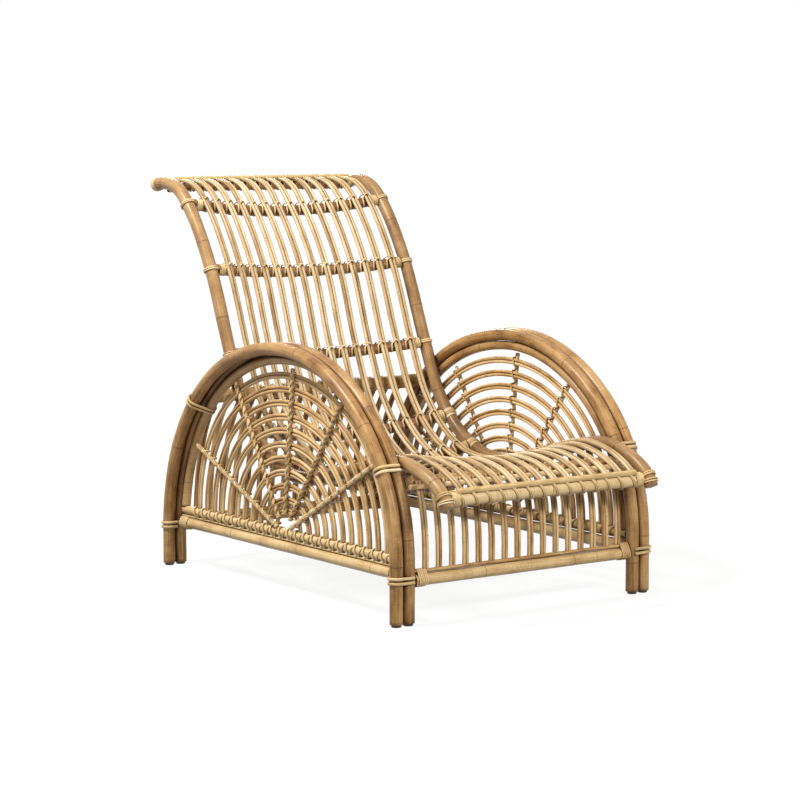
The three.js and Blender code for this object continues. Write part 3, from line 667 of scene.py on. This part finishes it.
# Slats: pairs of thin canes over all the crossbars -------------------------------------------------------
SLATS = 14
SLAT_PITCH = 2 * BAR_REACH / (SLATS + 0.64)
SLAT_XS = [(i - (SLATS - 1) / 2) * SLAT_PITCH for i in range(SLATS)]
SLAT_SEAT = 0.35  # between a bar and the canes over it
slat_shares = np.linspace(SHARES[0] + 9 / S_LENGTH, SHARES[-1] + 12 / S_LENGTH, 170)


def slat_offset(x):
    """How far a slat's middle at x lies from the S curve, eased from bar to bar."""
    after = np.clip(np.searchsorted(SHARES, slat_shares), 1, len(BARS) - 1)
    near, far = SHARES[after - 1], SHARES[after]
    s = np.clip((slat_shares - near) / (far - near), 0, 1)
    ease = s * s * (3 - 2 * s)
    lift = np.array([bar.r + SLAT_R + SLAT_SEAT - bar.inset - bar.bow * bow_at(x) for bar in BARS])
    lift[-1] -= TOP_DROP
    return lift[after - 1] * (1 - ease) + lift[after] * ease


INNER = slice(3, -3)  # the points of a painted-shade rod, which ends a little before its canes
shade_rods = []
for i, x in enumerate(SLAT_XS):
    p, _, sitter = rail_at(slat_shares)
    path = p + sitter * slat_offset(x)[:, None] + X * x
    slope = (slat_offset(x + 8) - slat_offset(x - 8)) / 16
    across = unit(X + sitter * slope[:, None])
    normal = unit(sitter - X * slope[:, None])
    shade_rods.append(shade_rod(path[INNER], normal[INNER]))
    make(f"slat_canes_{i + 1}", paired(lambda d: path + across * d, SLAT_R, 230, 10, 14), SLAT_CANE, "cane",
         f"slat_pair_{i + 1}")

# Fans: nested arcs of paired canes with wrapped spokes ---------------------------------------------------
FAN_ARCS = 10
FAN_Y = -9
FAN_SHARES = (0.6, 0.53)
FAN_FOOT = FAN_RAIL_Z + FAN_RAIL_R + GAP
FAN_HALF = LEG_Y - HOOP_INSET - HOOP_R - 48
FAN_PITCH = FAN_HALF / (2.5 + FAN_ARCS - 1)
FAN_CROWN = ARCH_CROWN[1] - HOOP_INSET - HOOP_R - 25.5
LEAST_CROWN = FAN_RAIL_Z + FAN_RAIL_R + 68
HUB = np.array([0, FAN_RAIL_Z])
HUB_REACH = 78
HUB_FRONT, HUB_REAR, HUB_CROWN = -58, 40, 191
HUB_CANE_R, HUB_CANE_STEP = 3, 3.2
SPOKES = [(23.7, 0.37), (58.2, 0.51), (96, 0.59), (126, 0.55), (151, 0.41)]  # angle and start, a share of HUB_REACH
SPOKE_R = 3.7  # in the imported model; here a thinner rod and strands wound round it
SPOKE_X = INNER_X + CANE_R + SPOKE_R - 0.6
SPOKE_STEP, SPOKE_END = 0.5, 5.2  # the step of the search for a spoke's end, and its distance from the hoop
STEEP_STRANDS = (2, 34, oval(6.8, 2.8, 10))  # count, pitch and section of a spoke's wrapping
FLAT_STRANDS = (4, 26, oval(3.9, 2.6, 10))


def fan_arc(i):
    """An arc of a fan, counted from the outside."""
    half = FAN_HALF - i * FAN_PITCH
    crown = FAN_CROWN + (LEAST_CROWN - FAN_CROWN) * i / (FAN_ARCS - 1)
    return bent((FAN_Y - half, FAN_FOOT), (FAN_Y + half, FAN_FOOT), (FAN_Y, crown), FAN_SHARES, FAN_SHARES)


fan_arcs = [fan_arc(i) for i in range(FAN_ARCS)]
hub_arc = bent((HUB_FRONT, FAN_FOOT), (HUB_REAR, FAN_FOOT), (FAN_Y, HUB_CROWN), FAN_SHARES, FAN_SHARES)


def spoke_line(angle, start_share):
    """A spoke from near the hub to just short of the hoop."""
    way = np.array([math.cos(math.radians(angle)), math.sin(math.radians(angle))])
    start = start_share * HUB_REACH
    reach = start
    while np.linalg.norm(HOOP_PATH - (HUB + way * (reach + SPOKE_STEP)), axis=1).min() > HOOP_R + SPOKE_END:
        reach += SPOKE_STEP
    return np.array([HUB + way * start, HUB + way * reach])


def crossing(line, arc):
    """Where a spoke crosses an arc: the point and the arc's direction, or None."""
    a, b = line
    way = unit(b - a)
    side = (arc - a) @ np.array([-way[1], way[0]])
    ahead = (arc - a) @ way
    for i in range(len(arc) - 1):
        if side[i] * side[i + 1] <= 0 and -6 < ahead[i] < np.linalg.norm(b - a) + 2:
            s = side[i] / (side[i] - side[i + 1])
            return arc[i] + (arc[i + 1] - arc[i]) * s, unit(arc[i + 1] - arc[i])
    return None


def spoke_tie(point, run, way, sign):
    """One strap laid slantwise over a spoke where it crosses a pair of canes."""
    e1, e2 = np.array([0, *run]), np.array([0, -run[1], run[0]])
    if e2[1:] @ way < 0:
        e1, e2 = -e1, -e2
    top = sign * X
    centre = np.array([sign * INNER_X, *point])
    h = CANE_R + 2 * SPOKE_R + 1.6
    corners = (
        (-6, -9.8, -0.5), (-5, -7.5, h * 0.55), (0, 0, h), (5, 7.5, h * 0.55), (6, 9.8, -0.5),
        (3.5, 8.5, -CANE_R - 0.8), (0, 0, -CANE_R - 1.2), (-3.5, -8.5, -CANE_R - 0.8),
    )
    loop = smooth_loop([centre + e1 * u + e2 * v + top * o for u, v, o in corners], 4)
    normal = unit(loop - centre - top * (CANE_R * 0.5))
    return sweep(loop, normal, strip(5.0, 1.6), closed=True, seed=dice.random())


for side, sign in SIDES.items():
    shells = []
    for arc in fan_arcs:
        shells += paired(lambda d: plane(sign * INNER_X, shifted(arc, d)), CANE_R, 190, 8, 12)
        shade_rods.append(shade_rod(plane(sign * INNER_X, arc)[INNER], X))
    for k in (-1, 1):
        path = plane(sign * INNER_X, shifted(hub_arc, k * HUB_CANE_STEP))
        shells.append(rod(path, HUB_CANE_R, X, gap=90, step=6, sides=12, bevel=0.8))
    windings, ties = [], []
    for angle, start in SPOKES:
        line = spoke_line(angle, start)
        path = plane(sign * SPOKE_X, line)
        shells.append(rod(path, SPOKE_R - 0.5, X, gap=0, step=20, sides=10))
        length = along(path)[-1]
        count, pitch, section = STEEP_STRANDS if 40 < angle < 140 else FLAT_STRANDS
        for k in range(count):
            windings.append(coil(path, X, 1.5, length - 2, (length - 3.5) / pitch, SPOKE_R + 0.5, section,
                                 2 * math.pi * k / count, 26))
        for d in (3, 6.6):
            windings.append(hoop(path, X, d, SPOKE_R + 1.3, strip(3.2, 1.6), 0.5))
        for arc in fan_arcs + [hub_arc]:
            hit = crossing(line, arc)
            if hit is not None:
                ties.append(spoke_tie(*hit, unit(line[1] - line[0]), sign))
    make(f"fan_canes_{side}", shells, CANE, "cane", f"fan_grille_{side}")
    make(f"spoke_windings_{side}", windings, STRAND, "strand")
    make(f"fan_ties_{side}", ties, CANE, "cane")

# The fan rail's winding of crossed strands, and the thin rod between the rail and the stretcher
RAIL_TURNS = 24
ROD_R, ROD_X, ROD_Z = 2.2, INNER_X + 6, 124.6
for side, sign in SIDES.items():
    shells = []
    s = np.linspace(0, RAIL_TURNS, RAIL_TURNS * 22 + 1)
    for hand, lag, rise in ((1, -1.5, 1.4), (1, 1.5, 1.4), (-1, -1.5, 2.3), (-1, 1.5, 2.3)):
        a = s * 2 * math.pi * hand
        out = np.column_stack([sign * np.sin(a), 0 * a, np.cos(a)])
        y = FAN_Y - RAIL_TURNS / 2 * FAN_PITCH + s * FAN_PITCH + lag
        p = np.column_stack([np.full(len(s), sign * INNER_X), y, np.full(len(s), float(FAN_RAIL_Z))])
        shells.append(sweep(p + out * (FAN_RAIL_R + rise), out, circle(1.45, 8), seed=dice.random()))
    make(f"fan_rail_strands_{side}", shells, STRAND, "strand", f"fan_rail_winding_{side}")
    path = side_pole(f"fan_rail_{side}", sign * ROD_X, ROD_Z, inset=2)
    make(f"fan_rail_rod_{side}", [rod(path, ROD_R, X, gap=170, sides=10)], STRAND, "strand")

# Skirts: pairs of canes from the bottom rails up to the cross rails, with a bead rail and a clamp bar ----
SKIRT_PAIRS = 16
SKIRT_PITCH = 2 * CROSS_REACH / (SKIRT_PAIRS + 0.7)
BEAD_R = 4.5
BEAD_Z = BOTTOM_RAIL_Z + BOTTOM_RAIL_R + GAP + BEAD_R
SKIRT_FOOT = BEAD_Z + 3.7
FRONT_TOP, REAR_TOP = 305, 426
FRONT_STAND = 14 + CANE_R + GAP - 10  # how far a skirt's top stands outside the legs
REAR_STAND = 16.5 + CANE_R + GAP
CLAMP_R, CLAMP_DROP, CLAMP_OUT = 6, 16, 9.4
for name, front, leg_y, top, stand in (
    ("skirt_front", True, -LEG_Y, FRONT_TOP, FRONT_STAND), ("skirt_rear", False, LEG_Y, REAR_TOP, REAR_STAND)
):
    path = []
    for s in np.linspace(0, 1, 30):
        point, out = arch_at(SKIRT_FOOT + (top - SKIRT_FOOT) * s, front)
        path.append(point + out * stand * s * s * (3 - 2 * s))
    path = np.array(path)
    shells = []
    for i in range(SKIRT_PAIRS):
        x = (i - (SKIRT_PAIRS - 1) / 2) * SKIRT_PITCH
        shells += paired(lambda d: plane(x + d, path), CANE_R, 170, 9, 12)
        shade_rods.append(shade_rod(plane(x, path)[INNER], X))
    ends = np.array([[-CROSS_REACH, leg_y, BEAD_Z], [CROSS_REACH, leg_y, BEAD_Z]])
    shells.append(rod(ends, BEAD_R, Z, gap=200, sides=12))
    if front:
        t = unit(path[-1] - path[-2])
        centre = path[-1] - t * CLAMP_DROP + np.array([-t[1], t[0]]) * CLAMP_OUT
        ends = np.array([[-CROSS_REACH, *centre], [CROSS_REACH, *centre]])
        shells.append(rod(ends, CLAMP_R, Z, gap=180, sides=16))
    make(f"{name}_canes", shells, CANE, "cane", name)

# The dark rods in the seams of the paired canes are painted shade
make("cane_seam_shade", shade_rods, BAR, "pole")


# Lashings round the legs and the arches ------------------------------------------------------------------
def strap(corners, tail=()):
    """A line round corners: (across, outward, radius, from, to) with 0 to the chair's side and 90 away from it."""
    out = []
    for across, outward, r, a0, a1 in corners:
        a = np.radians(np.linspace(a0, a1, max(3, int(abs(a1 - a0) / 8))))
        out.append(np.column_stack([across + r * np.cos(a), outward + r * np.sin(a), np.cos(a), np.sin(a)]))
    for point in tail:
        out.append(np.array([[*point, *out[-1][-1, 2:]]]))
    flat = np.vstack(out)
    d = along(flat[:, :2])
    keep = np.concatenate([[True], np.diff(d) > 1e-6])
    flat, d = flat[keep], d[keep]
    stops = np.unique(np.concatenate([d, np.arange(0, d[-1], 3)]))
    return np.column_stack([np.interp(stops, d, flat[:, i]) for i in range(4)])


LASH_OFFSETS = (-5.3, 5.3)
LASH_SECTION = oval(7.2, 4.6, 14)


def lash(name, sign, point, out, flat, lean, *nodes):
    """Two strands round the arches of one side, in the plane square to them at a point."""
    o3, run = np.array([0, *out]), np.array([0, out[1], -out[0]])
    base = np.array([sign * INNER_X, *point])
    d = along(flat[:, :2])
    shells = []
    for k in LASH_OFFSETS:
        drift = k + lean * np.sin(d / d[-1] * math.pi * 1.5)
        p = base + np.outer(sign * flat[:, 0], X) + np.outer(flat[:, 1], o3) + np.outer(drift, run)
        normal = np.outer(sign * flat[:, 2], X) + np.outer(flat[:, 3], o3)
        shells.append(sweep(p, normal, LASH_SECTION, seed=dice.random()))
    make(name, shells, STRAND, "strand", *nodes)


PITCH_X = OUTER_X - INNER_X
RIDE = ARCH_R + 2.3
TURN = math.degrees(math.atan2(-PITCH_X, HOOP_INSET))
ROUND_ARCHES = strap([(0, 0, RIDE, 108, 90), (PITCH_X, 0, RIDE, 90, -90)], [(ARCH_R + 3, -RIDE)])
ROUND_HOOP_TOO = strap(
    [(0, 0, RIDE, 108, 90), (PITCH_X, 0, RIDE, 90, TURN), (0, -HOOP_INSET, HOOP_R + 2.0, TURN, -170)])
LEG_LASH_Z, FRONT_LASH_Z, REAR_LASH_Z = 101, 332, 415
for side, sign in SIDES.items():
    lash(f"leg_strands_front_{side}", sign, (-LEG_Y, LEG_LASH_Z), (-1.0, 0), ROUND_ARCHES, 0.5,
         f"leg_lashing_front_{side}")
    lash(f"leg_strands_rear_{side}", sign, (LEG_Y, LEG_LASH_Z), (1.0, 0), ROUND_ARCHES, 0.5)
    lash(f"arm_strands_front_{side}", sign, *arch_at(FRONT_LASH_Z, True), ROUND_ARCHES, 0.6,
         f"arm_lashing_front_{side}")
    lash(f"arm_strands_rear_{side}", sign, *arch_at(REAR_LASH_Z, False), ROUND_HOOP_TOO, 0.8,
         f"arm_lashing_rear_{side}")

# Wrapped ends of the straight poles between the legs -----------------------------------------------------
wraps = []
for node in ("bottom_rail_front", "bottom_rail_rear"):
    y, z, r, _ = cross_pole(node)
    for a, b in ((2.5 - CROSS_REACH, 28 - CROSS_REACH), (CROSS_REACH - 28, CROSS_REACH - 2.5)):
        wraps.append(belt([(y, z, r), (y, BEAD_Z, BEAD_R)], 1.2, a, b, 5, oval(5.0, 2.2), any_phase()))
for node in ("cross_rail_front", "cross_rail_rear"):
    _, _, r, path = cross_pole(node)
    for a, b in both_ends(2 * CROSS_REACH, 1.5, 23.5):
        wraps.append(coil(path, Z, a, b, 5, r + 0.8, strip(4.6, 1.4), any_phase()))
for side, sign in SIDES.items():
    path = side_pole(f"side_stretcher_{side}", sign * INNER_X, STRETCHER_Z)
    for a, b in both_ends(along(path)[-1], 2, 36):
        wraps.append(coil(path, X, a, b, 9, STRETCHER_R + 1.5, circle(1.8, 10), any_phase()))
make("rail_end_wraps", wraps, CANE, "cane")

# Bindings of the bowed bars: a crossed tie on each slat and rings at the ends ----------------------------
CROSS_TIE = (  # shares of the tie's half width, half length and height, over the slat twice and back under the bar
    (-1, -1, 0.05), (-1.05, -0.7, 0.44), (-1.1, -0.1, 0.66), (-0.95, 0.3, 0.76), (0, 0.72, 1.0), (0.95, 1.02, 0.5),
    (1, 1.02, 0.05), (1, 0.68, -0.46), (1, 0, -0.68), (1, -0.68, -0.46), (1, -1, 0.05), (1.05, -0.7, 0.44),
    (1.1, -0.1, 0.66), (0.95, 0.3, 0.76), (0, 0.72, 1.09), (-0.95, 1.02, 0.5), (-1, 1.02, 0.05), (-1, 0.68, -0.46),
    (-1, 0, -0.68), (-1, -0.68, -0.46),
)
RING_SECTION = circle(2.0, 10)
for bar in BARS[1:-1]:
    p, run, sitter = bar_frame(bar)
    h, w, q = bar.r + 2 * SLAT_R + 1.2, 2 * SLAT_R + 1.6, bar.r + 1.6
    ties = []
    for x in SLAT_XS:
        slope = 2 * bar.bow * x / BAR_REACH**2
        e1 = unit(X + sitter * slope)
        e3 = unit(sitter - X * slope)
        centre = p - sitter * (bar.inset + bar.bow * float(bow_at(x))) + X * x
        loop = smooth_loop([centre + e1 * (w * u) + run * (q * v) + e3 * (h * o) for u, v, o in CROSS_TIE], 4)
        normal = loop - (centre + e3 * (bar.r * 0.5))
        normal = unit(normal - np.outer(normal @ e1, e1) * 0.7)
        ties.append(sweep(loop, normal, twin(1.05), closed=True, seed=dice.random()))
    make(f"ties_{bar.name}", ties, STRAND, "strand")
    path = bar_path(bar)
    right_end, left_end = both_ends(along(path)[-1], 2, 19)
    rings = []
    for (a, b), sign in ((left_end, SIDES["left"]), (right_end, SIDES["right"])):
        rings.append(coil(path, run, a, b, 3.2, bar.r + 1.3, strip(5.2, 2.4), any_phase()))
        for k in (-2.2, 2.2):
            rail = plane(sign * SEAT_X, S_CURVE)
            rings.append(hoop(rail, X, bar.share * S_LENGTH + k, SEAT_R + 1.7, RING_SECTION, 0.7))
    make(f"end_rings_{bar.name}", rings, STRAND, "strand")

# On the seat rails: wide wraps by the third seat bar and the lumbar bar, rings in front, a wrap at the top
wraps = []
for side, sign in SIDES.items():
    rail = plane(sign * SEAT_X, S_CURVE)
    for bar in BARS[3:5]:
        d = bar.share * S_LENGTH
        wraps.append(coil(rail, X, d - 12, d + 12, 5, SEAT_R + 0.7, strip(5.0, 1.2), any_phase()))
    for d in (11, 15.1, 25, 29.1):
        wraps.append(hoop(rail, X, d, SEAT_R + 1.7, RING_SECTION, 0.5))
    wraps.append(coil(rail, X, S_LENGTH - 14, S_LENGTH - 2, 2.6, SEAT_R + 0.7, strip(5.0, 1.3), any_phase()))
make("seat_rail_wraps", wraps, STRAND, "strand")

# The front bar: a flat band over the ends of the slats, strands that climb over it, and wrapped ends -----
BAND = [
    (16, 19.5), (13, 22.3), (9, 22.8), (5, 21), (2, 17.4), (2.8, 15.8), (6, 19.2), (9.2, 21.2), (12.2, 20.7),
    (14.8, 18.2),
]
LEAD_FRONT = 0.68  # the share of a strand's lead that falls on the front half of its turn
RISE_ANGLES, RISES = (0, 25, 45, 60, 75, 95, 330, 360), (2.6, 4, 4.4, 4.2, 3.0, 1.6, 1.6, 2.6)
path = bar_path(FRONT_BAR)
p, run, sitter = bar_frame(FRONT_BAR)
centre = p - sitter * FRONT_BAR.inset
x = np.linspace(20 - BAR_REACH, BAR_REACH - 20, 180)
swelling = 1 + 0.025 * np.cos(2 * math.pi * x / SLAT_PITCH + math.pi)
shells = [sweep(centre + np.outer(x, X), sitter, BAND, scale=swelling, seed=dice.random())]
s = np.linspace(0, SLATS, SLATS * 30 + 1)
f = s % 1
lead = np.where(f < 0.5, f * 2 * LEAD_FRONT, LEAD_FRONT + (f - 0.5) * 2 * (1 - LEAD_FRONT))
lead[-1] = 1.0
x = (np.minimum(np.floor(s), SLATS - 1) - SLATS / 2 + lead) * SLAT_PITCH
out = np.outer(np.cos(2 * math.pi * s), run) + np.outer(np.sin(2 * math.pi * s), sitter)
over = np.interp(f * 360, RISE_ANGLES, RISES)
for k in (-2.1, 2.1):
    line = centre + np.outer(x + k, X) + out * (FRONT_BAR.r + over)[:, None]
    shells.append(sweep(line, out, circle(1.65, 9), seed=dice.random()))
for a, b in both_ends(along(path)[-1], 0.8, 23):
    shells.append(coil(path, run, a, b, 6, FRONT_BAR.r + 1.5, oval(3.9, 2.6), any_phase()))
make("front_bar_binding", shells, STRAND, "strand")

# The top bar: a strip coiled along it, a thin loop on either side of each slat, and wrapped ends ---------
ROLL_R, ROLL_OUT, ROLL_BACK = 5.6, 9.0, 3.0  # of the coil that hides the ends of the slats
r = TOP_BAR.r
path = bar_path(TOP_BAR)
p, run, sitter = bar_frame(TOP_BAR)
reach = BAR_REACH - 4
turns = int(2 * reach / 5.4)
s = np.linspace(0, 1, turns * 14 + 1)
a = 2 * math.pi * turns * s
x = -reach + 2 * reach * s
bump = 0.7 * np.cos(2 * math.pi * x / SLAT_PITCH + math.pi) ** 3
out = np.outer(np.cos(a), run) + np.outer(np.sin(a), sitter)
line = p + sitter * ROLL_OUT - run * ROLL_BACK + np.outer(x, X) + out * (ROLL_R + bump)[:, None]
shells = [sweep(line, out, strip(5.2, 1.3), seed=dice.random())]
TOP_LOOP = (  # lean, and millimetres along the slat and towards the sitter
    (0.8, -r - 1.2, 0), (1, -11, 16), (1.1, -3, 26.2), (1.2, 5.5, 16), (1, r + 1.2, 0), (0.8, 0, -r - 1.4),
)
centre = p - sitter * (TOP_BAR.inset + TOP_DROP)
for x in SLAT_XS:
    for k in (-6.4, 6.4):
        loop = smooth_loop([centre + X * (x + k * lean) + run * v + sitter * o for lean, v, o in TOP_LOOP], 5)
        shells.append(sweep(loop, unit(loop - (p + X * x)), strip(3.0, 1.3), closed=True, seed=dice.random()))
for a, b in both_ends(along(path)[-1], 1, 15):
    shells.append(coil(path, run, a, b, 3, r + 1.1, strip(4.8, 2.0), any_phase()))
make("ties_top_bar", shells, STRAND, "strand")

# Floor, light and camera ---------------------------------------------------------------------------------
FLOOR_HALF = 40
FLOOR_TONE = 0.14
GLOW_FROM, GLOW_TO, LEAST_GLOW = 1.2, 6.0, 0.885  # the floor's own light grows to full between two distances
AMBIENT, AMBIENT_TINT = 0.13, (1, 0.86, 0.68, 1)
EYE, TARGET, LENS = (-3.5039, -4.8646, 1.0936), (0.0034, 0, 0.4263), 114.82

scene = bpy.context.scene
scene.view_settings.view_transform = "Standard"


def shows_background(n):
    """1 for the rays that see the white background: camera, transmission and glossy rays."""
    rays = n.node("LightPath").outputs
    seen = n.math("MAXIMUM", rays["Is Camera Ray"], rays["Is Transmission Ray"])
    return n.math("MAXIMUM", seen, rays["Is Glossy Ray"])


def white_floor():
    """A pale matt floor that looks white to the camera and in reflections, with the chair's soft shadow on it."""
    material = bpy.data.materials.new("floor")
    n = Nodes(material)
    n.shader.inputs["Base Color"].default_value = grey(FLOOR_TONE)
    n.shader.inputs["Roughness"].default_value = 1.0
    n.shader.inputs["Specular IOR Level"].default_value = 0.0
    position = n.node("NewGeometry").outputs["Position"]
    far = n.node("VectorMath", operation="LENGTH", in0=position).outputs["Value"]
    glow = n.node("MapRange", Value=far, in1=GLOW_FROM, in2=GLOW_TO, in3=LEAST_GLOW, in4=1.0).outputs["Result"]
    strength = n.math("MULTIPLY", shows_background(n), glow)
    emission = n.node("Emission", Color=grey(1), Strength=strength)
    total = n.node("AddShader", in0=n.shader.outputs[0], in1=emission.outputs[0])
    n.set(n.tree.nodes["Material Output"].inputs["Surface"], total.outputs[0])
    return material


def aim(thing, place, target):
    """Puts a lamp or the camera in its place, turned to a target."""
    thing.location = place
    direction = np.array(target) - np.array(place)
    thing.rotation_euler = Vector(direction).to_track_quat("-Z", "Y").to_euler()
    scene.collection.objects.link(thing)


def lamp(name, place, target, size, power):
    data = bpy.data.lights.new(name, "AREA")
    data.shape = "DISK"
    data.size = size
    data.energy = power
    aim(bpy.data.objects.new(name, data), place, target)


mesh = bpy.data.meshes.new("floor")
corners = [(-FLOOR_HALF, -FLOOR_HALF), (FLOOR_HALF, -FLOOR_HALF), (FLOOR_HALF, FLOOR_HALF), (-FLOOR_HALF, FLOOR_HALF)]
mesh.from_pydata([(x, y, 0) for x, y in corners], [], [(0, 1, 2, 3)])
mesh.materials.append(white_floor())
floor = bpy.data.objects.new("floor", mesh)
scene.collection.objects.link(floor)

world = bpy.data.worlds.new("studio")
scene.world = world
n = Nodes(world)
background = n.tree.nodes["Background"]
shown = shows_background(n)
n.set(background.inputs["Strength"], n.node("MapRange", Value=shown, in3=AMBIENT, in4=1.0).outputs["Result"])
n.set(background.inputs["Color"], n.mix(shown, AMBIENT_TINT, grey(1)))

lamp("key", (0.8, -3.2, 1.9), (0, 0, 0.4), 0.6, 70)
lamp("top", (-1.9, 0.2, 3.2), (0, 0, 0.4), 0.6, 130)
lamp("fill", (-3.4, -3.2, 1.6), (0, -0.2, 0.3), 0.7, 61)
lamp("rear", (1.6, 3.6, 2.2), (0, 0, 0.4), 1.0, 60)

camera_data = bpy.data.cameras.new("camera")
camera_data.lens = LENS
camera_data.sensor_width = 36
camera_data.clip_end = 200
camera = bpy.data.objects.new("camera", camera_data)
middle = np.array([0, SHIFT / 1000, 0])
aim(camera, np.array(EYE) + middle, np.array(TARGET) + middle)
scene.camera = camera
